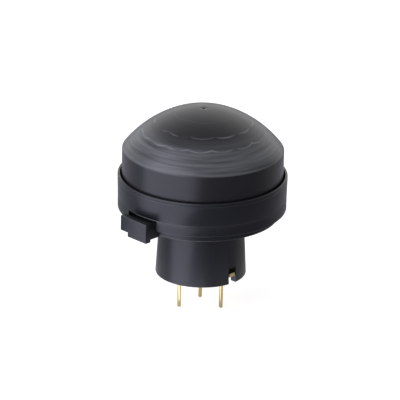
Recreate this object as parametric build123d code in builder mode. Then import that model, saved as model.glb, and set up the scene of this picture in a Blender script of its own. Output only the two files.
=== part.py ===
from build123d import *
from math import asin, cos, radians, sin
import os

os.makedirs("parts", exist_ok=True)

# A compact pyroelectric motion sensor that is soldered to a circuit board by three leads.
# All sizes are in millimetres. The optical axis is +Z, and z = 0 is the rim of the neck,
# where the sensor seats on its board. The front of the sensor faces -Y.

# Leads, on the pin circle of a small three-lead can
lead_diameter = 0.45
lead_circle = 5.08
lead_core_inset = 0.005
lead_core_taper = 0.02
lead_reach = 4.8
middle_lead_reach = 4.55
lead_tip_chamfer = 0.09
right_lead_angle = 0
middle_lead_angle = 90
left_lead_angle = 180

# Header of the can, a stamped disc with a raised middle and an index tab
header_z = 0.85
header_flange_radius = 4.58
header_flange_thickness = 0.45
header_boss_height = 0.25
glass_hole_radius = 0.6
index_tab_width = 0.85
index_tab_reach = 0.8
index_angle = -45

# Cap of the can
cap_radius = 4.1
cap_wall = 0.2
cap_flange_thickness = 0.25
cap_top_z = 5.55
cap_top_thickness = 0.25
cap_corner_radius = 0.4
boss_clearance = 0.05
window_opening = 3.9

# Window, bonded under the opening
window_size = 4.7
window_thickness = 0.5
window_bond = 0.05

# Circuit inside the can
spacer_inner_radius = 1.0
spacer_outer_radius = 1.7
spacer_height = 0.6
board_radius = 3.5
board_thickness = 0.6
board_flat = 3.2
board_hole_clearance = 0.05
lead_stub = 0.3
joint_foot_radius = 0.52
joint_top_radius = 0.3
joint_height = 0.22
support_length = 2.9
support_width = 0.5
support_height = 0.9
support_spacing = 2.6
support_chamfer = 0.06
bond_dot_radius = 0.18
bond_dot_height = 0.05
bond_dot_spacing = 2.5
element_size = 3.2
element_thickness = 0.1
electrode_size = 0.95
electrode_spacing = 1.2
electrode_thickness = 0.015
chip_length = 1.6
chip_width = 1.4
chip_thickness = 0.35
chip_film = 0.03
wire_thickness = 0.03
wire_pitch = 0.45
wire_inset = 0.15
wire_land = 0.55
wire_rise = 0.16
wires_a_side = 3
capacitor_length = 1.0
capacitor_width = 0.5
capacitor_band = 0.25
capacitor_band_rise = 0.02
capacitor_x = 1.15
capacitor_y = -2.35

# Holder: tapered neck, stepped floor, locating ring and two latch lugs, moulded in one
neck_rim_wall = 0.86
neck_top_wall = 0.9
neck_fillet = 0.4
can_flange_clearance = 0.05
can_bore_clearance = 0.1
crush_rib_radius = 0.2
crush_rib_gap = 0.01
crush_ribs = 3
flare_height = 1.0
flare_radius = 5.6
step_z = 7.54
step_ledge = 0.95
step_height = 0.96
floor_thickness = 1.06
seat_height = 0.65
locating_ring_wall = 0.9
locating_ring_height = 1.45
locating_clearance = 0.1
moulded_edge = 0.12
rim_slot_width = 1.18
rim_slot_height = 2.0

# Latch lugs and the notches that they pass through
lug_angle = 224.6
lug_width = 4.44
lug_stand = 1.2
lug_foot_z = 7.2
lug_height = 2.45
lug_root_depth = 0.7
lug_bevel = 0.2
lug_step_width = 1.3
lug_step_height = 0.58
notch_clearance = 0.2

# Lens: dome, skirt and foot flange in one moulding
lens_apex_z = 21.07
crown_radius = 10.75
crown_reach = 4.45
crease_z = 15.78
crease_chamfer = 0.1
skirt_radius = 9.75
skirt_wall = 0.8
dome_wall = 0.55
foot_flange_thickness = 0.65
gate_recess_radius = 0.42
gate_recess_depth = 0.05
gate_pit_radius = 0.17
gate_pit_depth = 0.2

# Lens facets: small convex lenses on the inner face, in rings that share one bulge
facet_radius = 24.0
facet_bulge = 0.26
facet_rings = {14.0: 6, 25.5: 12, 35.8: 16, 46.5: 20}
facet_phase = {14.0: 0.0, 25.5: 0.0, 35.8: -3.35, 46.5: 0.0}

# Collar: a thin ring that presses the lens foot on the holder
groove_width = 0.2
collar_wall = 0.3
collar_top_z = 12.74
collar_draft = 0.06
lip_height = 0.75
waist_height = 0.3
waist_depth = 0.07
lip_bevel = 0.09
shoulder_height = 0.4
shoulder_clearance = 0.05
foot_clearance = 0.05

# Levels and radii that follow from the sizes above
lead_radius = lead_diameter / 2
lead_core_radius = lead_radius - lead_core_inset
lead_offset = lead_circle / 2
header_flange_top = header_z + header_flange_thickness
header_top = header_flange_top + header_boss_height
cap_flange_top = header_flange_top + cap_flange_thickness
cap_inner_radius = cap_radius - cap_wall
cap_ceiling = cap_top_z - cap_top_thickness
window_top = cap_ceiling - window_bond
board_z = header_top + spacer_height
board_top = board_z + board_thickness
support_top = board_top + support_height
element_z = support_top + bond_dot_height
chip_z = board_top + chip_film
chip_top = chip_z + chip_thickness
step_top = step_z + step_height
seat_top = step_top + seat_height
floor_top = step_z + floor_thickness
foot_flange_top = seat_top + foot_flange_thickness
collar_bore = skirt_radius + groove_width
collar_radius = collar_bore + collar_wall
seat_radius = collar_bore - foot_clearance
skirt_inner_radius = skirt_radius - skirt_wall
locating_radius = skirt_inner_radius - locating_clearance
can_bore = cap_radius + can_bore_clearance
can_counterbore = header_flange_radius + can_flange_clearance
neck_rim_radius = can_counterbore + neck_rim_wall
neck_top_radius = can_bore + neck_top_wall
step_radius = collar_radius - step_ledge
lug_front = collar_radius + lug_stand
lug_arm_root = step_radius - lug_root_depth


def lead(angle, reach):
    """One round lead: its full width outside the can and a slightly tapered core inside it."""
    with BuildPart() as piece:
        with PolarLocations(lead_offset, 1, start_angle=angle):
            with Locations((0, 0, -reach)):
                Cylinder(lead_radius, reach + header_z, align=(Align.CENTER, Align.CENTER, Align.MIN))
            with Locations((0, 0, header_z)):
                Cone(lead_core_radius, lead_core_radius - lead_core_taper, board_top + lead_stub - header_z,
                     align=(Align.CENTER, Align.CENTER, Align.MIN))
        chamfer(piece.edges().group_by(Axis.Z)[0], lead_tip_chamfer)
    return piece


def glass_seal(angle):
    """The glass bead that holds one lead in the header and insulates it."""
    with BuildPart() as piece:
        with BuildSketch(Plane.XY.offset(header_z)):
            with PolarLocations(lead_offset, 1, start_angle=angle):
                Circle(glass_hole_radius)
                Circle(lead_core_radius, mode=Mode.SUBTRACT)
        extrude(amount=header_top - header_z)
    return piece


def element_support(side):
    """One ceramic rail that carries an edge of the element clear of the circuit."""
    with BuildPart() as piece:
        with BuildSketch(Plane.XY.offset(board_top)):
            with Locations((0, side * support_spacing / 2)):
                Rectangle(support_length, support_width)
        extrude(amount=support_height)
        chamfer(piece.edges().group_by(Axis.Z)[-1], support_chamfer)
    return piece


def chip_capacitor(side):
    """A chip capacitor: a ceramic block with a plated band round each end."""
    with BuildPart() as piece:
        with BuildSketch(Plane.XY.offset(board_top)):
            with Locations((side * capacitor_x, capacitor_y)):
                Rectangle(capacitor_length - 2 * capacitor_band, capacitor_width)
        extrude(amount=capacitor_width)
        band_offset = (capacitor_length - capacitor_band) / 2
        band_side = capacitor_width + 2 * capacitor_band_rise
        with BuildSketch(Plane.XY.offset(board_top)):
            with Locations((side * capacitor_x - band_offset, capacitor_y),
                           (side * capacitor_x + band_offset, capacitor_y)):
                Rectangle(capacitor_band, band_side)
        extrude(amount=capacitor_width + capacitor_band_rise)
    return piece


# Leads: supply on the right, signal in the middle, ground on the left
lead_power = lead(right_lead_angle, lead_reach)
lead_output = lead(middle_lead_angle, middle_lead_reach)
lead_ground = lead(left_lead_angle, lead_reach)

# Glass beads of the two insulated leads
glass_seal_power = glass_seal(right_lead_angle)
glass_seal_output = glass_seal(middle_lead_angle)

# Header: flange with its index tab, raised middle, two glass holes and the brazed ground hole
with BuildPart() as header_base:
    with BuildSketch(Plane.XY.offset(header_z)):
        Circle(header_flange_radius)
        with PolarLocations(header_flange_radius, 1, start_angle=index_angle):
            tab_length = 2 * index_tab_reach
            Rectangle(tab_length, index_tab_width)
    extrude(amount=header_flange_thickness)
    with BuildSketch(Plane.XY.offset(header_flange_top)):
        Circle(cap_inner_radius - boss_clearance)
    extrude(amount=header_boss_height)
    with BuildSketch(Plane.XY.offset(header_z)):
        with PolarLocations(lead_offset, 2, start_angle=right_lead_angle, angular_range=180):
            Circle(glass_hole_radius)
        with PolarLocations(lead_offset, 1, start_angle=left_lead_angle):
            Circle(lead_core_radius)
    extrude(amount=header_top - header_z, mode=Mode.SUBTRACT)

# Cap: a drawn cup with a welding flange and a square opening for the window
with BuildPart() as can_cap:
    with BuildSketch(Plane.XY.offset(header_flange_top)):
        Circle(header_flange_radius)
    extrude(amount=cap_flange_thickness)
    with BuildSketch(Plane.XY.offset(header_flange_top)):
        Circle(cap_radius)
    extrude(amount=cap_top_z - header_flange_top)
    fillet(can_cap.edges().group_by(Axis.Z)[-1], cap_corner_radius)
    with BuildSketch(Plane.XY.offset(header_flange_top)):
        Circle(cap_inner_radius)
    extrude(amount=cap_ceiling - header_flange_top, mode=Mode.SUBTRACT)
    with BuildSketch(Plane.XY.offset(cap_ceiling)):
        Rectangle(window_opening, window_opening)
    extrude(amount=cap_top_thickness, mode=Mode.SUBTRACT)

# Bond line between the window and the cap
with BuildPart() as window_adhesive:
    with BuildSketch(Plane.XY.offset(window_top)):
        Rectangle(window_size, window_size)
        Rectangle(window_opening, window_opening, mode=Mode.SUBTRACT)
    extrude(amount=window_bond)

# Window: a coated silicon square that passes infrared only
with BuildPart() as ir_window:
    with BuildSketch(Plane.XY.offset(window_top - window_thickness)):
        Rectangle(window_size, window_size)
    extrude(amount=window_thickness)

# Spacer that holds the circuit board off the header
with BuildPart() as board_spacer:
    with BuildSketch(Plane.XY.offset(header_top)):
        Circle(spacer_outer_radius)
        Circle(spacer_inner_radius, mode=Mode.SUBTRACT)
    extrude(amount=spacer_height)

# Circuit board: a ceramic disc with one flat and a hole for each lead
with BuildPart() as circuit_board:
    with BuildSketch(Plane.XY.offset(board_z)):
        Circle(board_radius)
        with Locations((0, -board_flat)):
            Rectangle(2 * board_radius, board_radius, align=(Align.CENTER, Align.MAX), mode=Mode.SUBTRACT)
        with PolarLocations(lead_offset, 3, start_angle=right_lead_angle, angular_range=270):
            Circle(lead_core_radius + board_hole_clearance, mode=Mode.SUBTRACT)
    extrude(amount=board_thickness)

# Solder joints of the three leads on the board
with BuildPart() as lead_joints:
    with PolarLocations(lead_offset, 3, start_angle=right_lead_angle, angular_range=270):
        with Locations((0, 0, board_top)):
            Cone(joint_foot_radius, joint_top_radius, joint_height,
                 align=(Align.CENTER, Align.CENTER, Align.MIN))
            Cylinder(lead_core_radius, joint_height, align=(Align.CENTER, Align.CENTER, Align.MIN),
                     mode=Mode.SUBTRACT)

# Signal chip on its film between the two rails
with BuildPart() as chip_attach_film:
    with BuildSketch(Plane.XY.offset(board_top)):
        Rectangle(chip_length, chip_width)
    extrude(amount=chip_film)

with BuildPart() as signal_chip:
    with BuildSketch(Plane.XY.offset(chip_z)):
        Rectangle(chip_length, chip_width)
    extrude(amount=chip_thickness)

# Gold wires from the chip's edge pads to the board
with BuildPart() as bond_wires:
    for side in (-1, 1):
        for row in range(wires_a_side):
            wire_y = (row - (wires_a_side - 1) / 2) * wire_pitch
            pad_x = side * (chip_length / 2 - wire_inset)
            land_x = side * (chip_length / 2 + wire_land)
            peak_x = side * (chip_length / 2 + wire_inset)
            with BuildLine() as wire_line:
                Polyline((pad_x, wire_y, chip_top), (pad_x, wire_y, chip_top + wire_rise),
                         (peak_x, wire_y, chip_top + wire_rise), (land_x, wire_y, board_top + wire_rise),
                         (land_x, wire_y, board_top))
            with BuildSketch(Plane.XY.offset(chip_top)):
                with Locations((pad_x, wire_y)):
                    Rectangle(wire_thickness, wire_thickness)
            sweep(path=wire_line.line, transition=Transition.RIGHT)

# Rails, bond dots and the element, with its four raised electrodes on each face
element_support_front = element_support(-1)
element_support_back = element_support(1)

with BuildPart() as element_bonds:
    with BuildSketch(Plane.XY.offset(support_top)):
        with GridLocations(bond_dot_spacing, support_spacing, 2, 2):
            Circle(bond_dot_radius)
    extrude(amount=bond_dot_height)

with BuildPart() as pyro_element:
    with BuildSketch(Plane.XY.offset(element_z)):
        Rectangle(element_size, element_size)
    extrude(amount=element_thickness)
    with BuildSketch(Plane.XY.offset(element_z - electrode_thickness)):
        with GridLocations(electrode_spacing, electrode_spacing, 2, 2):
            Rectangle(electrode_size, electrode_size)
    extrude(amount=element_thickness + 2 * electrode_thickness)

chip_capacitor_left = chip_capacitor(-1)
chip_capacitor_right = chip_capacitor(1)

# Holder
with BuildPart() as holder_base:
    with BuildSketch(Plane.XZ):
        with BuildLine():
            Polyline((neck_rim_radius, 0), (neck_top_radius, step_z), (step_radius, step_z),
                     (step_radius, step_top), (seat_radius, step_top), (seat_radius, seat_top),
                     (locating_radius, seat_top),
                     (locating_radius, seat_top + locating_ring_height),
                     (locating_radius - locating_ring_wall, seat_top + locating_ring_height),
                     (locating_radius - locating_ring_wall, floor_top),
                     (flare_radius, floor_top), (can_bore, floor_top - flare_height),
                     (can_bore, cap_flange_top), (can_counterbore, cap_flange_top),
                     (can_counterbore, 0), (neck_rim_radius, 0))
        make_face()
    revolve(axis=Axis.Z)
    circles = holder_base.edges().filter_by(GeomType.CIRCLE)
    underside_edges = circles.filter_by_position(Axis.Z, step_z, step_z).sort_by(SortBy.RADIUS)
    chamfer(underside_edges[-1], moulded_edge)
    circles = holder_base.edges().filter_by(GeomType.CIRCLE)
    underside_edges = circles.filter_by_position(Axis.Z, step_z, step_z).sort_by(SortBy.RADIUS)
    fillet(underside_edges[0], neck_fillet)
    ring_edges = holder_base.edges().filter_by(GeomType.CIRCLE).group_by(Axis.Z)[-1]
    chamfer(ring_edges, moulded_edge)

    # Each lug is an arm from the stepped floor and a tongue that stands outside the lens foot
    with PolarLocations(0, 2, start_angle=lug_angle):
        with Locations((lug_arm_root, 0, lug_foot_z)):
            Box(lug_front - lug_arm_root, lug_width, seat_top - lug_foot_z,
                align=(Align.MIN, Align.CENTER, Align.MIN))
        with Locations((collar_bore, 0, lug_foot_z)):
            Box(lug_front - collar_bore, lug_width, lug_height,
                align=(Align.MIN, Align.CENTER, Align.MIN))
        with Locations((lug_front, -lug_width / 2, lug_foot_z)):
            Box(lug_front - step_radius, 2 * lug_step_width, 2 * lug_step_height,
                align=(Align.MAX, Align.CENTER, Align.CENTER), mode=Mode.SUBTRACT)
    lug_axis = Axis((0, 0, 0), (cos(radians(lug_angle)), sin(radians(lug_angle)), 0))
    for front_face in (holder_base.faces().sort_by(lug_axis)[-1], holder_base.faces().sort_by(lug_axis)[0]):
        chamfer(front_face.edges().filter_by(Axis.Z), lug_bevel)

    # Slot in the rim for the can's index tab, and the ribs that centre the can
    with BuildSketch(Plane.XY):
        with PolarLocations(neck_rim_radius, 1, start_angle=index_angle):
            Rectangle(2 * (neck_rim_radius - can_bore), rim_slot_width)
    extrude(amount=rim_slot_height, mode=Mode.SUBTRACT)
    with BuildSketch(Plane.XY.offset(header_z)):
        rib_circle = header_flange_radius + crush_rib_gap + crush_rib_radius
        with PolarLocations(rib_circle, crush_ribs, start_angle=index_angle + 180 / crush_ribs):
            Circle(crush_rib_radius)
    extrude(amount=cap_flange_top - header_z)

# Shape of the dome: a crown arc, then a flatter flank arc tangent to it down to the crease
crown_angle = asin(crown_reach / crown_radius)
crown_centre_z = lens_apex_z - crown_radius
crown_end = (crown_reach, crown_centre_z + crown_radius * cos(crown_angle))
crown_tangent = (cos(crown_angle), -sin(crown_angle))
flank_run = skirt_radius - crown_reach
flank_drop = crown_end[1] - crease_z
flank_sag = flank_drop * cos(crown_angle) - flank_run * sin(crown_angle)
flank_radius = (flank_run ** 2 + flank_drop ** 2) / (2 * flank_sag)
flank_centre_r = crown_reach - flank_radius * sin(crown_angle)
flank_centre_z = crown_end[1] - flank_radius * cos(crown_angle)
inner_crown_radius = crown_radius - dome_wall
inner_flank_radius = flank_radius - dome_wall
inner_crown_end = (inner_crown_radius * sin(crown_angle),
                   crown_centre_z + inner_crown_radius * cos(crown_angle))
inner_crease_angle = asin((skirt_inner_radius - flank_centre_r) / inner_flank_radius)
inner_crease_z = flank_centre_z + inner_flank_radius * cos(inner_crease_angle)

# Inside of the lens, with every facet standing into it as a shallow convex cap
with BuildPart() as lens_cavity:
    with BuildSketch(Plane.XZ):
        with BuildLine():
            ThreePointArc((0, lens_apex_z - dome_wall),
                          (inner_crown_radius * sin(crown_angle / 2),
                           crown_centre_z + inner_crown_radius * cos(crown_angle / 2)),
                          inner_crown_end)
            TangentArc(inner_crown_end, (skirt_inner_radius, inner_crease_z), tangent=crown_tangent)
            Polyline((skirt_inner_radius, inner_crease_z), (skirt_inner_radius, seat_top),
                     (0, seat_top), (0, lens_apex_z - dome_wall))
        make_face()
    revolve(axis=Axis.Z)
    with Locations((0, 0, lens_apex_z - dome_wall - facet_bulge + facet_radius)):
        Sphere(facet_radius, mode=Mode.SUBTRACT)
    for slope, count in facet_rings.items():
        on_crown = radians(slope) < crown_angle
        centre_r = 0 if on_crown else flank_centre_r
        centre_z = crown_centre_z if on_crown else flank_centre_z
        wall_radius = inner_crown_radius if on_crown else inner_flank_radius
        reach = wall_radius - facet_bulge + facet_radius
        with Locations((0, 0, centre_z + reach * cos(radians(slope)))):
            with PolarLocations(centre_r + reach * sin(radians(slope)), count,
                                start_angle=-90 + facet_phase[slope]):
                Sphere(facet_radius, mode=Mode.SUBTRACT)

# Lens
with BuildPart() as lens_dome:
    with BuildSketch(Plane.XZ) as lens_section:
        with BuildLine():
            ThreePointArc((0, lens_apex_z),
                          (crown_radius * sin(crown_angle / 2),
                           crown_centre_z + crown_radius * cos(crown_angle / 2)),
                          crown_end)
            TangentArc(crown_end, (skirt_radius, crease_z), tangent=crown_tangent)
            Polyline((skirt_radius, crease_z), (skirt_radius, foot_flange_top),
                     (seat_radius, foot_flange_top), (seat_radius, seat_top),
                     (0, seat_top), (0, lens_apex_z))
        make_face()
        chamfer(lens_section.vertices().sort_by_distance((skirt_radius, crease_z))[0], crease_chamfer)
    revolve(axis=Axis.Z)
    add(lens_cavity.part, mode=Mode.SUBTRACT)
    recess_sphere = (gate_recess_radius ** 2 + gate_recess_depth ** 2) / (2 * gate_recess_depth)
    with Locations((0, 0, lens_apex_z - gate_recess_depth + recess_sphere)):
        Sphere(recess_sphere, mode=Mode.SUBTRACT)
    with Locations((0, 0, lens_apex_z)):
        Cylinder(gate_pit_radius, 2 * gate_pit_depth, mode=Mode.SUBTRACT)

# Collar
with BuildPart() as collar_ring:
    lip_radius = collar_radius - collar_draft / 2
    waist_top = collar_top_z - lip_height
    waist_z = waist_top - waist_height
    shoulder_radius = skirt_radius + shoulder_clearance
    with BuildSketch(Plane.XZ):
        with BuildLine():
            Polyline((collar_radius - collar_draft, step_top), (collar_radius, waist_z),
                     (collar_radius - waist_depth, waist_z + waist_height / 2), (lip_radius, waist_top),
                     (lip_radius, collar_top_z), (collar_bore, collar_top_z),
                     (collar_bore, foot_flange_top + shoulder_height),
                     (shoulder_radius, foot_flange_top + shoulder_height),
                     (shoulder_radius, foot_flange_top), (collar_bore, foot_flange_top),
                     (collar_bore, step_top), (collar_radius - collar_draft, step_top))
        make_face()
    revolve(axis=Axis.Z)
    top_edges = collar_ring.edges().filter_by(GeomType.CIRCLE).group_by(Axis.Z)[-1]
    chamfer(top_edges.sort_by(SortBy.RADIUS)[-1], lip_bevel)
    with BuildSketch(Plane.XY.offset(step_top)):
        with PolarLocations(collar_radius, 2, start_angle=lug_angle):
            Rectangle(4 * collar_wall, lug_width + 2 * notch_clearance)
    extrude(amount=foot_flange_top - step_top, mode=Mode.SUBTRACT)

pieces = {
    "lens_dome": lens_dome, "collar_ring": collar_ring, "holder_base": holder_base,
    "can_cap": can_cap, "header_base": header_base,
    "glass_seal_power": glass_seal_power, "glass_seal_output": glass_seal_output,
    "lead_power": lead_power, "lead_output": lead_output, "lead_ground": lead_ground,
    "ir_window": ir_window, "window_adhesive": window_adhesive,
    "board_spacer": board_spacer, "circuit_board": circuit_board, "lead_joints": lead_joints,
    "chip_attach_film": chip_attach_film, "signal_chip": signal_chip, "bond_wires": bond_wires,
    "chip_capacitor_left": chip_capacitor_left, "chip_capacitor_right": chip_capacitor_right,
    "element_support_front": element_support_front, "element_support_back": element_support_back,
    "element_bonds": element_bonds, "pyro_element": pyro_element,
}
for name, piece in pieces.items():
    piece.part.label = name
    export_step(piece.part, f"parts/{name}.step")
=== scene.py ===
"""Looks of a compact motion sensor: smoked dome lens, collar, holder and gold leads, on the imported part."""

import math

import bmesh
import bpy
from mathutils import Matrix, Vector


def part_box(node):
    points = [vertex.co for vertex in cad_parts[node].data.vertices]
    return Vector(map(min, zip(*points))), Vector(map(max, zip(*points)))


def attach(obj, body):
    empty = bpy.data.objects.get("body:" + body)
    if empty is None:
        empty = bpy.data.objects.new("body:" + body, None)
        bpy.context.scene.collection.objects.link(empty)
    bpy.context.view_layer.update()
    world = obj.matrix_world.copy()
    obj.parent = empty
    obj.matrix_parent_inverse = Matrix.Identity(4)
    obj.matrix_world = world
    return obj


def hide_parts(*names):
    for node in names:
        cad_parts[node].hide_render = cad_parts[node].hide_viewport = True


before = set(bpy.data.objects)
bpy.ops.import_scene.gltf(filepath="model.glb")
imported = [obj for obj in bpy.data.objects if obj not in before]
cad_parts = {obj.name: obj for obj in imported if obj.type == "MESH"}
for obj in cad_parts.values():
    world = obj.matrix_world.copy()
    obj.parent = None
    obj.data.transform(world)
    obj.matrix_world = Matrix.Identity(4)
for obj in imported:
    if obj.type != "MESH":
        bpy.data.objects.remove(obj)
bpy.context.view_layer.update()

bl_info = {
    "name": "Motion Sensor Looks",
    "version": (1, 0, 0),
    "blender": (4, 5, 0),
    "location": "3D View > Sidebar > Sensor",
    "description": "Builds the visible pieces, materials and studio of a small motion sensor",
    "category": "Object",
}

MM = 0.001
FULL_TURN = 2 * math.pi

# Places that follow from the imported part
LENS_LOW, LENS_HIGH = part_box("lens_dome")
COLLAR_LOW, COLLAR_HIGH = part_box("collar_ring")
HOLDER_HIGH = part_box("holder_base")[1]
CAN_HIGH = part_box("can_cap")[1]
FLOOR_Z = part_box("lead_power")[0].z

# Directions round the axis of the two latch lugs and of the slot in the neck's rim
LUG_TURNS = (math.radians(224.6), math.radians(44.6))
SLOT_TURN = math.radians(-45)

# Steps round the axis, and along each arc of the dome's outer and inner faces
ROUND_STEPS = 192
OUTER_STEPS = 24
INNER_STEPS = 16

# A point of an outline that is nearer to the axis than this, in metres, lies on it
ON_AXIS = 1e-7

# How far short of the crease the dome's inner face ends, in radians
INNER_STOP = 0.06

# Facet rings of the lens: how many facets, the middle of one of them in degrees, where their outer edge lies
# on the dome and the depth of its scallops, both in millimetres, and how clearly that edge shows at the
# middle of a facet and at its corners, which is the strength of the edge's painted highlight
FACET_RINGS = (
    (6, -90.0, 3.6, 0.25, 0.12, 0.12),
    (12, -91.5, 5.9, 0.22, 0.8, 0.05),
    (16, -93.35, 7.5, 0.25, 0.45, 1.0),
)

# Distance to each side within which a facet's edge fades out
FACET_LINE = 0.13 * MM

# Height over the crease within which the lens turns from plain skirt to the dome with its painted light: the
# streaks and the facet edges' painted highlights
CREASE_FADE = 0.14 * MM

# Distances from the axis at which the lower ring's streaks of painted light begin and are full
RING_START = 5.6 * MM
RING_FULL = 8.2 * MM

# Half widths of the paper floor and of the card on it, and the heights of their faces, in metres
FLOOR_HALF = 3.0
FLOOR_LOW = FLOOR_Z - 0.01
CARD_HALF = 1.5
CARD_LOW = FLOOR_Z + 0.02 * MM
CARD_HIGH = FLOOR_Z + 0.05 * MM

# Where the card's front tone ends and its back tone begins, measured backwards from the axis, and the
# distances from the axis at which its palest patch begins and is full. The card is seen only in reflections,
# and its tones are painted reflection: shade in the walls that face the front, and a bright patch in the
# leads
CARD_FRONT_END = -20 * MM
CARD_BACK_START = 45 * MM
PATCH_START = 22 * MM
PATCH_FULL = 14 * MM

# Tones of the paper and the card, and the glow that brings the paper up to pure white. The card's tones are
# painted reflection: dark where they paint shade, palest where they paint the bright patch in the leads
PAPER_TONE = "#e8e8e8"
PAPER_GLOW = 0.6
CARD_FRONT = "#7c7c7e"
CARD_BACK = "#c8c8ca"
CARD_MIDDLE = "#f2f2f2"

# Lamps, in metres: width, height, place and the point that they face. The first two lie on the table
TABLE_Z = FLOOR_Z + 0.1 * MM
LIGHT_TABLE = (0.16, 0.15, (-0.089, -0.081, TABLE_Z), (-0.089, -0.081, 1))
TABLE_CORNER = (0.012, 0.014, (-0.004, -0.009, TABLE_Z), (-0.004, -0.009, 1))
SIDE_SOFTBOX = (0.4, 0.45, (-0.207, -0.14, 0.215), (0, 0, 0.215))

# How far backwards a direction points where the room starts to brighten, and where the wall is full
WALL_START = 0.18
WALL_FULL = 0.85

# Width of the camera's sensor in millimetres, and how far it sees in metres
FILM_WIDTH = 36.0
SIGHT = 10.0


def linear(code):
    """A colour written as sRGB hex, as the linear red, green and blue that shaders take."""
    parts = [int(code[place:place + 2], 16) / 255 for place in (1, 3, 5)]
    return tuple(p / 12.92 if p <= 0.04045 else ((p + 0.055) / 1.055) ** 2.4 for p in parts)


def opaque(code):
    """The same colour with a full alpha, for colour sockets."""
    return (*linear(code), 1.0)


def length(name, description, millimetres):
    """A length that a user may change, shown in the scene's units."""
    return bpy.props.FloatProperty(name=name, description=description, default=millimetres * MM,
                                   unit="LENGTH", precision=4)


def angle(name, description, degrees):
    """An angle that a user may change."""
    return bpy.props.FloatProperty(name=name, description=description, default=math.radians(degrees),
                                   subtype="ANGLE")


def radiance(name, description, strength):
    """The brightness of a light that a user may change, where 1 is white."""
    return bpy.props.FloatProperty(name=name, description=description, default=strength)


def colour(name, description, code):
    """A surface colour that a user may change."""
    return bpy.props.FloatVectorProperty(name=name, description=description, default=linear(code), size=3,
                                         subtype="COLOR", min=0.0, max=1.0)


class SensorSizes(bpy.types.PropertyGroup):
    """Sizes of the moulded pieces that the frame's boxes don't give."""

    crown_radius: length("Crown radius", "Radius of the arc over the dome's crown", 10.75)
    crown_reach: length("Crown reach", "Distance from the axis at which the crown meets the flank", 4.45)
    crease_height: length("Crease height", "Height of the edge between the dome and its skirt", 15.88)
    crease_round: length("Crease rounding", "Radius of the edge between the dome and its skirt", 0.15)
    skirt_radius: length("Skirt radius", "Outer radius of the lens skirt", 9.75)
    skirt_wall: length("Skirt wall", "Thickness of the lens skirt", 0.8)
    dome_wall: length("Dome wall", "Thickness of the dome", 0.55)
    foot_height: length("Foot height", "Thickness of the flange at the foot of the lens", 0.65)
    foot_setback: length("Foot setback", "How far that flange stays behind the notches of the collar", 0.45)
    gate_radius: length("Gate recess radius", "Radius of the shallow recess round the gate mark", 0.42)
    gate_depth: length("Gate recess depth", "Depth of the shallow recess round the gate mark", 0.05)
    gate_dish: length("Gate recess dish", "How much the floor of that recess rises outwards", 0.01)
    gate_pit_radius: length("Gate pit radius", "Radius of the pit in the gate mark", 0.17)
    gate_pit_depth: length("Gate pit depth", "Depth of the pit in the gate mark", 0.2)
    gate_pit_mouth: length("Gate pit mouth", "Height over which the pit opens out at its top", 0.03)
    groove: length("Groove", "Width of the dark groove between the lens and the collar", 0.2)
    collar_draft: length("Collar draft", "How much slimmer the collar is at its foot", 0.06)
    lip_height: length("Lip height", "Height of the collar's top lip", 0.3)
    lip_round: length("Lip rounding", "Radius of that lip's outer edge", 0.12)
    waist_height: length("Waist height", "Height of the shallow groove under the lip", 0.2)
    waist_depth: length("Waist depth", "Depth of the shallow groove under the lip", 0.1)
    seam_height: length("Seam height", "Height of the fine line round the collar above its notches", 0.12)
    seam_depth: length("Seam depth", "Depth of the fine line round the collar above its notches", 0.03)
    shoulder_height: length("Shoulder height", "Thickness of the ledge that presses the lens foot", 0.4)
    shoulder_clearance: length("Shoulder clearance", "Gap between that ledge and the lens skirt", 0.05)
    notch_height: length("Notch height", "Height of the notches that the latch lugs pass through", 1.3)
    notch_clearance: length("Notch clearance", "Gap between a lug and each side of its notch", 0.2)
    neck_rim: length("Neck rim radius", "Outer radius of the neck at its rim", 5.49)
    neck_top: length("Neck top radius", "Outer radius of the neck under the holder's step", 5.1)
    neck_fillet: length("Neck fillet", "Radius of the inner corner at the top of the neck", 0.4)
    step_radius: length("Step radius", "Radius of the holder's lower step", 9.3)
    step_height: length("Step height", "Height of the holder's lower step", 0.96)
    step_round: length("Step rounding", "Radius of that step's lower edge", 0.13)
    floor_thickness: length("Floor thickness", "Thickness of the holder's floor", 1.06)
    ring_wall: length("Locating ring wall", "Thickness of the ring that centres the lens skirt", 0.9)
    ring_clearance: length("Locating ring clearance", "Gap between that ring and the lens skirt", 0.1)
    flare_radius: length("Flare radius", "Upper radius of the cone that opens over the can", 5.6)
    flare_height: length("Flare height", "Height of the cone that opens over the can", 1.0)
    can_bore: length("Can bore", "Radius of the bore round the can", 4.2)
    can_ledge: length("Can ledge", "Height of the ledge that holds the can's flange down", 1.55)
    can_clearance: length("Can clearance", "Gap round the can's flange", 0.05)
    lug_width: length("Lug width", "Width of a latch lug", 4.44)
    lug_height: length("Lug height", "Height of a latch lug's face", 2.45)
    lug_foot: length("Lug foot", "Height of the lower edge of a latch lug", 7.2)
    lug_stand: length("Lug stand", "How far a latch lug stands outside the collar", 1.2)
    lug_plate: length("Lug plate", "Thickness of a latch lug's face plate", 0.85)
    lug_round: length("Lug rounding", "Radius of that plate's edges", 0.12)
    lug_heel: length("Lug heel", "How far the face plate reaches below its arm", 0.25)
    lug_cheek: length("Lug cheek", "How far the face plate reaches past its arm at each side", 0.25)
    lug_step_width: length("Lug step width", "Width of the step cut from a latch lug's lower corner", 1.3)
    lug_step_height: length("Lug step height", "Height of that step", 0.58)
    slot_width: length("Rim slot width", "Width of the slot in the neck's rim", 1.18)
    slot_height: length("Rim slot height", "Height of the slot in the neck's rim", 2.0)
    edge_round: length("Moulded edge", "Radius that the mould leaves on plain outer edges", 0.1)
    soft_round: length("Softer edge", "Radius at the collar's foot and at the bottom of its waist", 0.08)
    fine_round: length("Finer edge", "Radius at the collar's bore and on both sides of its waist", 0.04)


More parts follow.
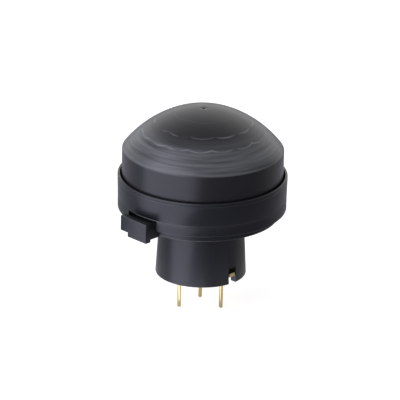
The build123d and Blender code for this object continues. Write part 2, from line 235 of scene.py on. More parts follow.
class SensorColours(bpy.types.PropertyGroup):
    """Colours of the main surfaces."""

    lens: colour("Lens", "Smoked polyethylene of the dome", "#18181c")
    # This colour is painted light: the pale facet edges are their painted highlights, and the pale lower ring
    # is painted light through the smoke
    painted_lens_light: colour("Lens light", "Facet edges and lower ring as they show through the smoke", "#6b6d6f")
    resin: colour("Resin", "Moulded resin of the collar and holder", "#0e1016")
    gold: colour("Gold", "Gold plating of the leads", "#f4dda0")
    nickel: colour("Nickel", "Nickel plating of the can", "#c9c2b4")


class SensorStage(bpy.types.PropertyGroup):
    """Camera and light."""

    distance: length("Camera distance", "Distance from the camera to the point it looks at", 600.0)
    lens_mm: bpy.props.FloatProperty(name="Focal length", description="Focal length of the camera, in mm",
                                     default=447.7, unit="CAMERA")
    elevation: angle("Camera elevation", "Height of the camera as an angle", 21.8)
    roll: angle("Camera roll", "Lean of the picture", 1.2)
    aim_x: length("Aim sideways", "Where the camera looks, to the right of the axis", -0.25)
    aim_z: length("Aim height", "Where the camera looks, above the neck's rim", 9.2)
    table_light: radiance("Table light", "Radiance of the light table on the left", 1.45)
    corner_light: radiance("Corner light", "Radiance of its corner near the leads", 1.3)
    side_light: radiance("Side light", "Radiance of the softbox on the left", 2.3)
    room_light: radiance("Room light", "Radiance of the room in front and above", 0.38)
    back_light: radiance("Back light", "Radiance of the white wall behind", 1.1)
    lamp_tint: colour("Lamp tint", "Colour of the light table and the softbox", "#e9ebff")


def arc(centre, radius, start, end, steps):
    """Points on an arc in the (radius, height) plane, angles measured from the axis towards the rim."""
    angles = [start + (end - start) * step / steps for step in range(steps + 1)]
    return [(centre[0] + radius * math.sin(a), centre[1] + radius * math.cos(a)) for a in angles]


def rounded(corners, steps=5):
    """A closed outline from (radius, height, rounding) corners, with each rounded corner as an arc."""
    points = []
    for place, (x, z, size) in enumerate(corners):
        corner = Vector((x, z))
        if size == 0:
            points.append(corner)
            continue
        back = (Vector(corners[place - 1][:2]) - corner).normalized()
        ahead = (Vector(corners[(place + 1) % len(corners)][:2]) - corner).normalized()
        half = back.angle(ahead) / 2
        centre = corner + (back + ahead).normalized() * size / math.sin(half)
        first = (corner + back * size / math.tan(half) - centre).normalized()
        last = (corner + ahead * size / math.tan(half) - centre).normalized()
        for step in range(steps + 1):
            points.append(centre + first.slerp(last, step / steps) * size)
    return [(p[0], p[1]) for p in points]


def revolve(name, outline, steps=ROUND_STEPS):
    """A closed mesh from an outline turned round the axis. Points on the axis become one vertex each."""
    shell = bmesh.new()
    turns = [FULL_TURN * step / steps for step in range(steps)]
    rings = []
    for radius, height in outline:
        if radius < ON_AXIS:
            rings.append([shell.verts.new((0, 0, height))] * steps)
            continue
        rings.append([shell.verts.new((radius * math.cos(t), radius * math.sin(t), height)) for t in turns])
    for place, ring in enumerate(rings):
        above = rings[(place + 1) % len(rings)]
        for s in range(steps):
            t = (s + 1) % steps
            corners = list(dict.fromkeys((ring[s], ring[t], above[t], above[s])))
            if len(corners) > 2:
                shell.faces.new(corners)
    bmesh.ops.recalc_face_normals(shell, faces=shell.faces)
    return as_object(name, shell)


def box(name, low, high, turn=0.0, rounding=0.0):
    """A block between two corners, turned round the axis, with rounded edges where asked."""
    shell = bmesh.new()
    bmesh.ops.create_cube(shell, size=1.0)
    size = Vector(high) - Vector(low)
    middle = (Vector(high) + Vector(low)) / 2
    shell.transform(Matrix.Translation(middle) @ Matrix.Diagonal((*size, 1.0)))
    if rounding:
        bmesh.ops.bevel(shell, geom=shell.edges, offset=rounding, segments=3, profile=0.5, affect="EDGES")
    shell.transform(Matrix.Rotation(turn, 4, "Z"))
    return as_object(name, shell)


def as_object(name, shell):
    """Turns mesh code into an object of the scene."""
    mesh = bpy.data.meshes.new(name)
    shell.to_mesh(mesh)
    shell.free()
    made = bpy.data.objects.new(name, mesh)
    bpy.context.scene.collection.objects.link(made)
    return made


def combine(target, tool, operation):
    """Joins a tool to the target or cuts it out of it, and removes the tool."""
    modifier = target.modifiers.new(operation.title(), "BOOLEAN")
    modifier.operation = operation
    modifier.solver = "EXACT"
    modifier.object = tool
    bpy.context.view_layer.update()
    evaluated = target.evaluated_get(bpy.context.evaluated_depsgraph_get())
    result = bpy.data.meshes.new_from_object(evaluated)
    target.modifiers.clear()
    target.data = result
    bpy.data.objects.remove(tool)


def shade(piece, sharp=math.radians(32)):
    """Smooth shading that breaks at edges sharper than an angle."""
    shell = bmesh.new()
    shell.from_mesh(piece.data)
    for face in shell.faces:
        face.smooth = True
    for edge in shell.edges:
        edge.smooth = edge.is_manifold and edge.calc_face_angle() < sharp
    shell.to_mesh(piece.data)
    shell.free()


def dress(piece, material, slot, *nodes):
    """Gives a finished piece its material and its place in the frame."""
    piece.data.materials.clear()
    piece.data.materials.append(material)
    shade(piece)
    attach(piece, "root")
    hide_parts(*nodes)


def recolour(material, *nodes):
    """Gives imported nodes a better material. Their meshes stay as they are."""
    for name in nodes:
        for material_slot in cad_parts[name].material_slots:
            material_slot.material = material


def add(tree, kind, settings=None, inputs=None):
    """Adds a node, sets its own settings, and sets or links its inputs."""
    made = tree.nodes.new(kind)
    for key, value in (settings or {}).items():
        setattr(made, key, value)
    for key, value in (inputs or {}).items():
        if isinstance(value, bpy.types.NodeSocket):
            tree.links.new(value, made.inputs[key])
        else:
            made.inputs[key].default_value = value
    return made


def new_material(name):
    """A material with an empty node tree."""
    material = bpy.data.materials.new(name)
    material.use_nodes = True
    material.node_tree.nodes.clear()
    return material


def finish(material, surface):
    """Ends a material's tree in its output."""
    add(material.node_tree, "ShaderNodeOutputMaterial", inputs={"Surface": surface.outputs[0]})
    return material


def facet_edges(tree, reach, turn):
    """Scalloped lines along the facet rings, from the distance to the axis and the angle round it: the mask
    of the facet edges' relief and of their painted highlight.
    """
    # A facet's corners lie half a facet from its middle, which is 0.5 when one facet counts as 1
    corner_square = 0.5 ** 2
    edges = None
    for count, middle, boundary, scallop, centre, corner in FACET_RINGS:
        start = 0.5 - count * math.radians(middle) / FULL_TURN
        share = add(tree, "ShaderNodeMath", {"operation": "MULTIPLY_ADD"},
                    {0: turn, 1: count / FULL_TURN, 2: start})
        part = add(tree, "ShaderNodeMath", {"operation": "FRACT"}, {0: share.outputs[0]})
        off = add(tree, "ShaderNodeMath", {"operation": "SUBTRACT"}, {0: part.outputs[0], 1: 0.5})
        square = add(tree, "ShaderNodeMath", {"operation": "MULTIPLY"},
                     {0: off.outputs[0], 1: off.outputs[0]})
        rim = add(tree, "ShaderNodeMath", {"operation": "MULTIPLY_ADD"},
                  {0: square.outputs[0], 1: -scallop * MM / corner_square, 2: boundary * MM})
        gap = add(tree, "ShaderNodeMath", {"operation": "SUBTRACT"}, {0: reach, 1: rim.outputs[0]})
        near = add(tree, "ShaderNodeMath", {"operation": "ABSOLUTE"}, {0: gap.outputs[0]})
        clarity = add(tree, "ShaderNodeMapRange",
                      inputs={"Value": square.outputs[0], "From Max": corner_square, "To Min": centre,
                              "To Max": corner})
        line = add(tree, "ShaderNodeMapRange", {"interpolation_type": "SMOOTHSTEP"},
                   {"Value": near.outputs[0], "From Min": 0.0, "From Max": FACET_LINE,
                    "To Min": clarity.outputs[0], "To Max": 0.0})
        edges = line if edges is None else add(tree, "ShaderNodeMath", {"operation": "MAXIMUM"},
                                               {0: edges.outputs[0], 1: line.outputs[0]})
    return edges.outputs[0]


def smoked_polyethylene(colours, crease_height):
    """Injection-moulded high-density polyethylene, smoked: a satin skin over a faintly cloudy body. The lens
    facets of the inner face are drawn on it as thin pale arcs, whose paleness is painted highlight, and the
    lower ring as pale level streaks of painted light."""
    patch_size = 2.2 * MM
    streak_size = 3.5 * MM
    streak_stretch = (0.4, 0.4, 12)
    cloud_size = 1.5 * MM
    material = new_material("Smoked moulded polyethylene")
    tree = material.node_tree
    place = add(tree, "ShaderNodeTexCoord").outputs["Object"]
    apart = add(tree, "ShaderNodeSeparateXYZ", inputs={"Vector": place})
    flat = add(tree, "ShaderNodeVectorMath", {"operation": "MULTIPLY"}, {0: place, 1: (1, 1, 0)})
    distance = add(tree, "ShaderNodeVectorMath", {"operation": "LENGTH"}, {0: flat.outputs["Vector"]})
    reach = distance.outputs["Value"]
    turn = add(tree, "ShaderNodeMath", {"operation": "ARCTAN2"},
               {0: apart.outputs["Y"], 1: apart.outputs["X"]})
    dome = add(tree, "ShaderNodeMapRange", {"interpolation_type": "SMOOTHSTEP"},
               {"Value": apart.outputs["Z"], "From Min": crease_height,
                "From Max": crease_height + CREASE_FADE})

    # Facet edges: a faint relief, and a pale tint that paints their highlights, broken into dashes by the
    # uneven noise
    edges = facet_edges(tree, reach, turn.outputs[0])
    uneven = add(tree, "ShaderNodeTexNoise", inputs={"Vector": place, "Scale": 1 / patch_size, "Detail": 1.0})
    patchy = add(tree, "ShaderNodeMapRange",
                 inputs={"Value": uneven.outputs["Fac"], "From Min": 0.42, "From Max": 0.6})
    lines = add(tree, "ShaderNodeMath", {"operation": "MULTIPLY"}, {0: edges, 1: patchy.outputs[0]})

    # Lower ring: pale level streaks that paint the light showing through the smoke, growing from the ring's
    # start to full
    stretched = add(tree, "ShaderNodeVectorMath", {"operation": "MULTIPLY"}, {0: place, 1: streak_stretch})
    streaks = add(tree, "ShaderNodeTexNoise",
                  inputs={"Vector": stretched.outputs["Vector"], "Scale": 1 / streak_size, "Detail": 3.0})
    lower = add(tree, "ShaderNodeMapRange", {"interpolation_type": "SMOOTHSTEP"},
                {"Value": reach, "From Min": RING_START, "From Max": RING_FULL, "To Max": 0.9})
    turned = add(tree, "ShaderNodeMapRange",
                 inputs={"Value": streaks.outputs["Fac"], "From Min": 0.2, "From Max": 0.8})
    painted_ring_light = add(tree, "ShaderNodeMath", {"operation": "MULTIPLY"},
                  {0: lower.outputs[0], 1: turned.outputs[0]})
    # The painted light: the facet highlights and the lower ring's light, shown on the dome only, tint the
    # smoke towards the pale colour
    glow = add(tree, "ShaderNodeMath", {"operation": "ADD"}, {0: lines.outputs[0], 1: painted_ring_light.outputs[0]})
    shown = add(tree, "ShaderNodeMath", {"operation": "MULTIPLY", "use_clamp": True},
                {0: glow.outputs[0], 1: dome.outputs["Result"]})
    tint = add(tree, "ShaderNodeMix", {"data_type": "RGBA"},
               {"Factor": shown.outputs[0], "A": (*colours.lens, 1), "B": (*colours.painted_lens_light, 1)})
    relief = add(tree, "ShaderNodeBump",
                 inputs={"Strength": 0.5, "Distance": 0.02 * MM, "Height": lines.outputs[0]})
    cloud = add(tree, "ShaderNodeTexNoise", inputs={"Vector": place, "Scale": 1 / cloud_size, "Detail": 3.0})
    satin = add(tree, "ShaderNodeMapRange",
                inputs={"Value": cloud.outputs["Fac"], "To Min": 0.26, "To Max": 0.36})
    skin = add(tree, "ShaderNodeBsdfPrincipled",
               inputs={"Base Color": tint.outputs["Result"], "Roughness": satin.outputs[0], "IOR": 1.54,
                       "Normal": relief.outputs[0]})
    return finish(material, skin)


def moulded_resin(colours):
    """Injection-moulded black resin: an even semi-gloss skin with the mottle of a spark-eroded mould. A real
    part's mottle is finer, and this one is drawn as coarse as it needs to show."""
    mottle_size = 0.12 * MM
    cloud_size = 3.0 * MM
    paler = tuple(min(1.0, c * 1.35) for c in colours.resin)
    material = new_material("Moulded black resin")
    tree = material.node_tree
    place = add(tree, "ShaderNodeTexCoord").outputs["Object"]
    mottle = add(tree, "ShaderNodeTexNoise",
                 inputs={"Vector": place, "Scale": 1 / mottle_size, "Detail": 2.0})
    cloud = add(tree, "ShaderNodeTexNoise", inputs={"Vector": place, "Scale": 1 / cloud_size, "Detail": 2.0})
    tint = add(tree, "ShaderNodeMix", {"data_type": "RGBA"},
               {"Factor": cloud.outputs["Fac"], "A": (*colours.resin, 1), "B": (*paler, 1)})
    satin = add(tree, "ShaderNodeMapRange",
                inputs={"Value": mottle.outputs["Fac"], "To Min": 0.28, "To Max": 0.4})
    relief = add(tree, "ShaderNodeBump",
                 inputs={"Strength": 0.12, "Distance": 0.01 * MM, "Height": mottle.outputs["Fac"]})
    skin = add(tree, "ShaderNodeBsdfPrincipled",
               inputs={"Base Color": tint.outputs["Result"], "Roughness": satin.outputs[0], "IOR": 1.57,
                       "Normal": relief.outputs[0]})
    return finish(material, skin)


def plated_metal(name, tone, low, high, grain, stretch=(1, 1, 1)):
    """A metal with fine lines: its colour, its lowest and highest roughness, and the spacing of the lines in
    metres. A small number in stretch draws the lines out along that axis."""
    duller = tuple(c * 0.82 for c in tone)
    material = new_material(name)
    tree = material.node_tree
    place = add(tree, "ShaderNodeTexCoord").outputs["Object"]
    drawn = add(tree, "ShaderNodeVectorMath", {"operation": "MULTIPLY"}, {0: place, 1: stretch})
    lines = add(tree, "ShaderNodeTexNoise",
                inputs={"Vector": drawn.outputs["Vector"], "Scale": 1 / grain, "Detail": 2.0})
    polish = add(tree, "ShaderNodeMapRange",
                 inputs={"Value": lines.outputs["Fac"], "To Min": low, "To Max": high})
    relief = add(tree, "ShaderNodeBump",
                 inputs={"Strength": 0.1, "Distance": 0.01 * MM, "Height": lines.outputs["Fac"]})
    tint = add(tree, "ShaderNodeMix", {"data_type": "RGBA"},
               {"Factor": lines.outputs["Fac"], "A": (*duller, 1), "B": (*tone, 1)})
    skin = add(tree, "ShaderNodeBsdfPrincipled",
               inputs={"Base Color": tint.outputs["Result"], "Metallic": 1.0, "Roughness": polish.outputs[0],
                       "Normal": relief.outputs[0]})
    return finish(material, skin)


def inner_finish(name, dark, light, rough, ior, grain):
    """A plain finish for a piece of the can: two tones in grains of a size in metres."""
    material = new_material(name)
    tree = material.node_tree
    place = add(tree, "ShaderNodeTexCoord").outputs["Object"]
    grains = add(tree, "ShaderNodeTexNoise", inputs={"Vector": place, "Scale": 1 / grain, "Detail": 2.0})
    tint = add(tree, "ShaderNodeMix", {"data_type": "RGBA"},
               {"Factor": grains.outputs["Fac"], "A": opaque(dark), "B": opaque(light)})
    relief = add(tree, "ShaderNodeBump",
                 inputs={"Strength": 0.1, "Distance": 0.01 * MM, "Height": grains.outputs["Fac"]})
    skin = add(tree, "ShaderNodeBsdfPrincipled",
               inputs={"Base Color": tint.outputs["Result"], "Roughness": rough, "IOR": ior,
                       "Normal": relief.outputs[0]})
    return finish(material, skin)


class SENSOR_OT_lens(bpy.types.Operator):
    """Builds the dome lens with its skirt, foot flange and gate mark"""

    bl_idname = "sensor.lens"
    bl_label = "Dome Lens"

    def execute(self, context):
        sizes = context.scene.sensor_sizes
        apex = LENS_HIGH.z
        foot = LENS_LOW.z

        # The crown's arc, and the flank's arc that leaves it without a kink and ends at the crease
        crown = math.asin(sizes.crown_reach / sizes.crown_radius)
        crown_centre = apex - sizes.crown_radius
        crown_end = crown_centre + sizes.crown_radius * math.cos(crown)
        run = sizes.skirt_radius - sizes.crown_reach
        drop = crown_end - sizes.crease_height
        flank_radius = (run ** 2 + drop ** 2) / (2 * (drop * math.cos(crown) - run * math.sin(crown)))
        flank_centre = (sizes.crown_reach - flank_radius * math.sin(crown),
                        crown_end - flank_radius * math.cos(crown))
        crease = math.asin((sizes.skirt_radius - flank_centre[0]) / flank_radius)

        # The gate mark: a pit that opens out at its top, in a dished recess
        pit_floor = apex - sizes.gate_pit_depth
        pit_floor_radius = 0.7 * sizes.gate_pit_radius
        pit_mouth_radius = 1.15 * sizes.gate_pit_radius
        recess_floor = apex - sizes.gate_depth
        recess_edge = math.asin(sizes.gate_radius / sizes.crown_radius)
        dish_radius = 0.75 * sizes.gate_radius
        outline = [(0, pit_floor), (pit_floor_radius, pit_floor),
                   (sizes.gate_pit_radius, recess_floor - sizes.gate_pit_mouth),
                   (pit_mouth_radius, recess_floor), (dish_radius, recess_floor + sizes.gate_dish)]

        # The outer face. The flank stops short of the crease, and the corner left there is rounded
        outline += arc((0, crown_centre), sizes.crown_radius, recess_edge, crown, OUTER_STEPS)
        crease_trim = sizes.crease_round / flank_radius
        crease_corner = 0.6 * sizes.crease_round
        flank = arc(flank_centre, flank_radius, crown, crease - crease_trim, OUTER_STEPS)
        outline += flank[1:]
        foot_radius = LENS_HIGH.x - sizes.foot_setback
        foot_top = foot + sizes.foot_height
        bore = sizes.skirt_radius - sizes.skirt_wall
        lower = rounded([(*flank[-1], 0), (sizes.skirt_radius, sizes.crease_height, crease_corner),
                         (sizes.skirt_radius, foot_top, 0), (foot_radius, foot_top, sizes.edge_round),
                         (foot_radius, foot, sizes.edge_round), (bore, foot, sizes.edge_round),
                         (bore, sizes.crease_height - sizes.dome_wall, 0)])
        outline += lower[1:]

        # The inner face, back to the axis
        inner = arc((0, crown_centre), sizes.crown_radius - sizes.dome_wall, 0, crown, INNER_STEPS)
        inner_flank = arc(flank_centre, flank_radius - sizes.dome_wall, crown, crease - INNER_STOP,
                          INNER_STEPS)
        inner += inner_flank[1:]
        outline += reversed(inner)
        lens = revolve("lens", outline)
        smoked = smoked_polyethylene(context.scene.sensor_colours, sizes.crease_height)
        dress(lens, smoked, "lens", "lens_dome")
        return {"FINISHED"}


class SENSOR_OT_collar(bpy.types.Operator):
    """Builds the collar ring with its lip, waist and the two notches for the latch lugs"""

    bl_idname = "sensor.collar"
    bl_label = "Collar"

    def execute(self, context):
        sizes = context.scene.sensor_sizes
        low, high = COLLAR_LOW.z, COLLAR_HIGH.z
        outer = COLLAR_HIGH.x
        drafted = outer - sizes.collar_draft
        bore = sizes.skirt_radius + sizes.groove
        waist_top = high - sizes.lip_height
        waist_low = waist_top - sizes.waist_height
        waist_middle = (waist_low + waist_top) / 2
        shoulder = low + sizes.notch_height
        shoulder_top = shoulder + sizes.shoulder_height
        shoulder_bore = sizes.skirt_radius + sizes.shoulder_clearance
        seam = shoulder + sizes.seam_height
        seam_middle = (shoulder + seam) / 2
        outline = rounded([(drafted, low, sizes.soft_round), (drafted, shoulder, 0),
                           (drafted - sizes.seam_depth, seam_middle, 0), (drafted, seam, 0),
                           (outer, waist_low, sizes.fine_round),
                           (outer - sizes.waist_depth, waist_middle, sizes.soft_round),
                           (outer, waist_top, sizes.fine_round), (outer, high, sizes.lip_round),
                           (bore, high, sizes.fine_round), (bore, shoulder_top, 0),
                           (shoulder_bore, shoulder_top, 0), (shoulder_bore, shoulder, 0),
                           (bore, shoulder, 0), (bore, low, 0)])
        collar = revolve("collar", outline)

        # Each notch is cut by a block that starts inside the bore and ends outside the collar
        cut_start = 0.9 * outer
        cut_end = 1.1 * outer
        cut_low = low - sizes.edge_round
        side = sizes.lug_width / 2 + sizes.notch_clearance
        for lug_turn in LUG_TURNS:
            notch = box("notch", (cut_start, -side, cut_low), (cut_end, side, shoulder), lug_turn)
            combine(collar, notch, "DIFFERENCE")
        dress(collar, moulded_resin(context.scene.sensor_colours), "collar", "collar_ring")
        return {"FINISHED"}


class SENSOR_OT_holder(bpy.types.Operator):
    """Builds the holder: tapered neck with its rim slot, stepped floor and the two latch lugs"""

    bl_idname = "sensor.holder"
    bl_label = "Holder"

    def execute(self, context):
        sizes = context.scene.sensor_sizes
        edge = sizes.edge_round
        ring_top = HOLDER_HIGH.z
        step_top = COLLAR_LOW.z
        step_low = step_top - sizes.step_height
        seat = LENS_LOW.z
        seat_radius = LENS_HIGH.x
        floor = step_low + sizes.floor_thickness
        ring = sizes.skirt_radius - sizes.skirt_wall - sizes.ring_clearance
        ring_bore = ring - sizes.ring_wall
        counterbore = CAN_HIGH.x + sizes.can_clearance
        outline = rounded([(sizes.neck_rim, 0, edge), (sizes.neck_top, step_low, sizes.neck_fillet),
                           (sizes.step_radius, step_low, sizes.step_round),
                           (sizes.step_radius, step_top, 0), (seat_radius, step_top, 0),
                           (seat_radius, seat, 0), (ring, seat, 0), (ring, ring_top, edge),
                           (ring_bore, ring_top, edge), (ring_bore, floor, 0),
                           (sizes.flare_radius, floor, 0), (sizes.can_bore, floor - sizes.flare_height, 0),
                           (sizes.can_bore, sizes.can_ledge, 0), (counterbore, sizes.can_ledge, 0),
                           (counterbore, 0, edge)])
        holder = revolve("holder", outline)

        # Each lug is a face plate outside the collar, on an arm from the ring, less a step at one corner
        front = COLLAR_HIGH.x + sizes.lug_stand
        back = front - sizes.lug_plate
        plate_middle = front - sizes.lug_plate / 2
        side = sizes.lug_width / 2
        arm_side = side - sizes.lug_cheek
        step_side = sizes.lug_step_width - side
        foot = sizes.lug_foot
        top = foot + sizes.lug_height
        arm_foot = foot + sizes.lug_heel
        step_head = foot + sizes.lug_step_height
        for lug_turn in LUG_TURNS:
            plate = box("plate", (back, -side, foot), (front, side, top), lug_turn, sizes.lug_round)
            arm = box("arm", (ring, -arm_side, arm_foot), (plate_middle, arm_side, seat), lug_turn)
            step = box("step", (ring, -2 * side, foot - edge), (front + edge, step_side, step_head), lug_turn)
            combine(plate, arm, "UNION")
            combine(plate, step, "DIFFERENCE")
            combine(holder, plate, "UNION")
        slot_side = sizes.slot_width / 2
        slot = box("slot", (sizes.can_bore, -slot_side, -edge),
                   (sizes.neck_rim + edge, slot_side, sizes.slot_height), SLOT_TURN)
        combine(holder, slot, "DIFFERENCE")
        dress(holder, moulded_resin(context.scene.sensor_colours), "holder", "holder_base")
        return {"FINISHED"}


class SENSOR_OT_can(bpy.types.Operator):
    """Finishes the metal can with its header, glass beads and gold-plated leads"""

    bl_idname = "sensor.can"
    bl_label = "Can and Leads"

    def execute(self, context):
        colours = context.scene.sensor_colours

        # Drawn gold-plated wire: bright, with faint lines along its length
        gold_wire = plated_metal("Gold plated drawn wire", colours.gold, low=0.14, high=0.26,
                                 grain=0.05 * MM, stretch=(1, 1, 0.05))
        recolour(gold_wire, "lead_power", "lead_output", "lead_ground", "bond_wires")

        # Gold-plated stamping: a little softer, with an even rolled grain
        gold_sheet = plated_metal("Gold plated stamping", colours.gold, low=0.22, high=0.36,
                                  grain=0.06 * MM)
        recolour(gold_sheet, "header_base")

        # Deep-drawn can under nickel: silvery with a warm cast and faint draw lines
        nickel = plated_metal("Nickel plated drawn steel", colours.nickel, low=0.22, high=0.38,
                              grain=0.06 * MM, stretch=(1, 1, 0.1))
        recolour(nickel, "can_cap")

        # Fused sealing glass: a dark green bead with a smooth fired meniscus
        glass = inner_finish("Fused sealing glass", "#1d2b28", "#2c413b", rough=0.12, ior=1.52,
                             grain=0.3 * MM)
        recolour(glass, "glass_seal_power", "glass_seal_output")
        return {"FINISHED"}


class SENSOR_OT_circuit(bpy.types.Operator):
    """Finishes the pieces inside the can"""

    bl_idname = "sensor.circuit"
    bl_label = "Circuit"

    def execute(self, context):
        # Silicon window, polished and coated: a dark mirror with a violet cast
        window = inner_finish("Coated silicon", "#2b2434", "#3a3148", rough=0.15, ior=3.4, grain=0.4 * MM)
        recolour(window, "ir_window")

        # Cured epoxy: brown, with the dull shine of a set drop
        epoxy = inner_finish("Cured epoxy", "#4c443a", "#63594c", rough=0.4, ior=1.55, grain=0.1 * MM)
        recolour(epoxy, "window_adhesive", "chip_attach_film", "element_bonds")

        # Moulded liquid crystal polymer: cream and evenly satin
        polymer = inner_finish("Moulded liquid crystal polymer", "#cdbf9f", "#ded2b5", rough=0.5, ior=1.65,
                               grain=0.15 * MM)
        recolour(polymer, "board_spacer")

        # Fired alumina: white and dry, with a fine grain
        alumina = inner_finish("Fired alumina", "#dedbd2", "#efece4", rough=0.6, ior=1.76, grain=0.05 * MM)
        recolour(alumina, "circuit_board", "element_support_front", "element_support_back")

        # Reflowed tin solder: bright and smooth, cooled with a faint frost
        solder = plated_metal("Reflowed tin solder", linear("#c9cbce"), low=0.2, high=0.34, grain=0.08 * MM)
        recolour(solder, "lead_joints")

        # Bare silicon, polished: a slate grey mirror
        silicon = inner_finish("Polished silicon", "#3b3f49", "#4b505b", rough=0.12, ior=3.4, grain=0.3 * MM)
        recolour(silicon, "signal_chip")

        # Fired capacitor ceramic: tan, with a soft shine
        capacitor = inner_finish("Fired capacitor ceramic", "#8a6a48", "#a07c56", rough=0.5, ior=1.9,
                                 grain=0.08 * MM)
        recolour(capacitor, "chip_capacitor_left", "chip_capacitor_right")

        # Pyroelectric ceramic, lapped flat: straw yellow and half polished
        element = inner_finish("Lapped pyroelectric ceramic", "#bdb184", "#cfc49a", rough=0.35, ior=2.2,
                               grain=0.1 * MM)
        recolour(element, "pyro_element")
        return {"FINISHED"}


def area_light(name, form, strength, tint):
    """A rectangular lamp of a given radiance that faces a point and stays out of the camera's sight."""
    width, height, place, aim = form
    lamp = bpy.data.lights.new(name, "AREA")
    lamp.shape = "RECTANGLE"
    lamp.color = tint
    lamp.size = width
    lamp.size_y = height
    lamp.energy = strength * math.pi * width * height
    made = bpy.data.objects.new(name, lamp)
    made.location = place
    made.rotation_euler = (Vector(aim) - Vector(place)).to_track_quat("-Z", "Y").to_euler()
    made.visible_camera = False
    bpy.context.scene.collection.objects.link(made)


def paper():
    """Matt white backdrop paper: it reads as pure white, and still takes the object's soft shadow."""
    material = new_material("Matt white backdrop paper")
    tree = material.node_tree
    path = add(tree, "ShaderNodeLightPath")
    seen = add(tree, "ShaderNodeMath", {"operation": "MAXIMUM"},
               {0: path.outputs["Is Camera Ray"], 1: path.outputs["Is Glossy Ray"]})
    clear = add(tree, "ShaderNodeMath", {"operation": "MAXIMUM"},
                {0: seen.outputs[0], 1: path.outputs["Is Transmission Ray"]})
    strength = add(tree, "ShaderNodeMath", {"operation": "MULTIPLY"}, {0: clear.outputs[0], 1: PAPER_GLOW})
    matt = add(tree, "ShaderNodeBsdfDiffuse", inputs={"Color": opaque(PAPER_TONE)})
    white = add(tree, "ShaderNodeEmission", inputs={"Color": (1, 1, 1, 1), "Strength": strength.outputs[0]})
    both = add(tree, "ShaderNodeAddShader", inputs={0: matt.outputs[0], 1: white.outputs[0]})
    return finish(material, both)


def studio_world(stage):
    """Plain room light that brightens towards the white wall behind. The camera sees it as pure white."""
    world = bpy.data.worlds.new("Studio")
    world.use_nodes = True
    tree = world.node_tree
    tree.nodes.clear()
    direction = add(tree, "ShaderNodeTexCoord").outputs["Generated"]
    apart = add(tree, "ShaderNodeSeparateXYZ", inputs={"Vector": direction})
    strength = add(tree, "ShaderNodeMapRange", {"interpolation_type": "SMOOTHSTEP"},
                   {"Value": apart.outputs["Y"], "From Min": WALL_START, "From Max": WALL_FULL,
                    "To Min": stage.room_light, "To Max": stage.back_light})
    seen = add(tree, "ShaderNodeLightPath").outputs["Is Camera Ray"]
    shown = add(tree, "ShaderNodeMix", inputs={"Factor": seen, "A": strength.outputs[0], "B": 1.0})
    backdrop = add(tree, "ShaderNodeBackground",
                   inputs={"Color": (1, 1, 1, 1), "Strength": shown.outputs[0]})
    add(tree, "ShaderNodeOutputWorld", inputs={"Surface": backdrop.outputs[0]})
    return world


def painted_reflection_card():
    """Card on the table that only reflections see, out of the camera's sight: dark in front, paler behind and
    palest under the sensor. Its tones are painted reflection: the dark front paints shade into the walls that
    face the front, the paler back lets their far sides pick up the pale room, and the palest patch paints the
    bright reflection in the leads."""
    material = new_material("Painted reflection card")
    tree = material.node_tree
    place = add(tree, "ShaderNodeTexCoord").outputs["Object"]
    apart = add(tree, "ShaderNodeSeparateXYZ", inputs={"Vector": place})
    behind = add(tree, "ShaderNodeMapRange", {"interpolation_type": "SMOOTHSTEP"},
                 {"Value": apart.outputs["Y"], "From Min": CARD_FRONT_END, "From Max": CARD_BACK_START})
    tone = add(tree, "ShaderNodeMix", {"data_type": "RGBA"},
               {"Factor": behind.outputs[0], "A": opaque(CARD_FRONT), "B": opaque(CARD_BACK)})
    # The palest patch under the sensor paints the bright reflection seen in the leads
    reach = add(tree, "ShaderNodeVectorMath", {"operation": "LENGTH"}, {0: place}).outputs["Value"]
    beneath = add(tree, "ShaderNodeMapRange", {"interpolation_type": "SMOOTHSTEP"},
                  {"Value": reach, "From Min": PATCH_START, "From Max": PATCH_FULL})
    paler = add(tree, "ShaderNodeMix", {"data_type": "RGBA"},
                {"Factor": beneath.outputs[0], "A": tone.outputs["Result"], "B": opaque(CARD_MIDDLE)})
    matt = add(tree, "ShaderNodeBsdfDiffuse", inputs={"Color": paler.outputs["Result"]})
    return finish(material, matt)


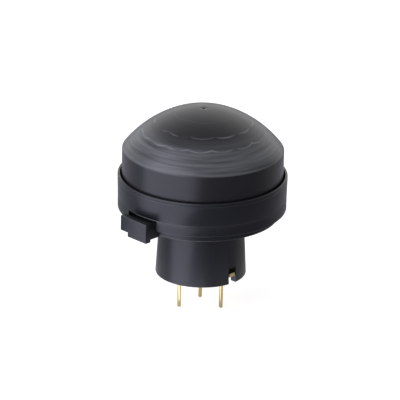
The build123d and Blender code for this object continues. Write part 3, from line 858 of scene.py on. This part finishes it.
class SENSOR_OT_stage(bpy.types.Operator):
    """Sets up the floor, the soft lights, the world and the camera"""

    bl_idname = "sensor.stage"
    bl_label = "Studio"

    def execute(self, context):
        scene = context.scene
        stage = scene.sensor_stage
        floor = box("floor", (-FLOOR_HALF, -FLOOR_HALF, FLOOR_LOW), (FLOOR_HALF, FLOOR_HALF, FLOOR_Z))
        floor.data.materials.append(paper())

        # A card that only reflections see: its tones paint dark and pale reflections on the walls and leads
        card = box("reflection_only_card", (-CARD_HALF, -CARD_HALF, CARD_LOW), (CARD_HALF, CARD_HALF, CARD_HIGH))
        card.data.materials.append(painted_reflection_card())
        card.visible_camera = False
        card.visible_diffuse = False
        card.visible_shadow = False
        card.visible_transmission = False

        area_light("light_table", LIGHT_TABLE, stage.table_light, stage.lamp_tint)
        area_light("table_corner", TABLE_CORNER, stage.corner_light, stage.lamp_tint)
        area_light("side_softbox", SIDE_SOFTBOX, stage.side_light, stage.lamp_tint)
        scene.world = studio_world(stage)

        aim = Vector((stage.aim_x, 0, stage.aim_z))
        back = Vector((0, -math.cos(stage.elevation), math.sin(stage.elevation)))
        camera_data = bpy.data.cameras.new("camera")
        camera_data.lens = stage.lens_mm
        camera_data.sensor_width = FILM_WIDTH
        camera_data.clip_end = SIGHT
        camera = bpy.data.objects.new("camera", camera_data)
        look = (-back).to_track_quat("-Z", "Y").to_matrix().to_4x4()
        camera.matrix_world = (Matrix.Translation(aim + back * stage.distance) @ look
                               @ Matrix.Rotation(stage.roll, 4, "Z"))
        scene.collection.objects.link(camera)
        scene.camera = camera
        scene.view_settings.view_transform = "Standard"
        return {"FINISHED"}


STEPS = (SENSOR_OT_lens, SENSOR_OT_collar, SENSOR_OT_holder, SENSOR_OT_can, SENSOR_OT_circuit,
         SENSOR_OT_stage)


class SENSOR_PT_panel(bpy.types.Panel):
    """Lists the steps that build the sensor's looks"""

    bl_idname = "SENSOR_PT_panel"
    bl_label = "Motion Sensor"
    bl_space_type = "VIEW_3D"
    bl_region_type = "UI"
    bl_category = "Sensor"

    def draw(self, context):
        column = self.layout.column()
        for step in STEPS:
            column.operator(step.bl_idname)


CLASSES = (SensorSizes, SensorColours, SensorStage, *STEPS, SENSOR_PT_panel)


def register():
    """Registers the classes and hangs the settings on the scene."""
    for entry in CLASSES:
        bpy.utils.register_class(entry)
    bpy.types.Scene.sensor_sizes = bpy.props.PointerProperty(type=SensorSizes)
    bpy.types.Scene.sensor_colours = bpy.props.PointerProperty(type=SensorColours)
    bpy.types.Scene.sensor_stage = bpy.props.PointerProperty(type=SensorStage)


def unregister():
    """Takes the settings and classes away again."""
    del bpy.types.Scene.sensor_stage
    del bpy.types.Scene.sensor_colours
    del bpy.types.Scene.sensor_sizes
    for entry in reversed(CLASSES):
        bpy.utils.unregister_class(entry)


def main():
    """Builds everything in order."""
    register()
    bpy.ops.sensor.lens()
    bpy.ops.sensor.collar()
    bpy.ops.sensor.holder()
    bpy.ops.sensor.can()
    bpy.ops.sensor.circuit()
    bpy.ops.sensor.stage()


if __name__ == "__main__":
    main()
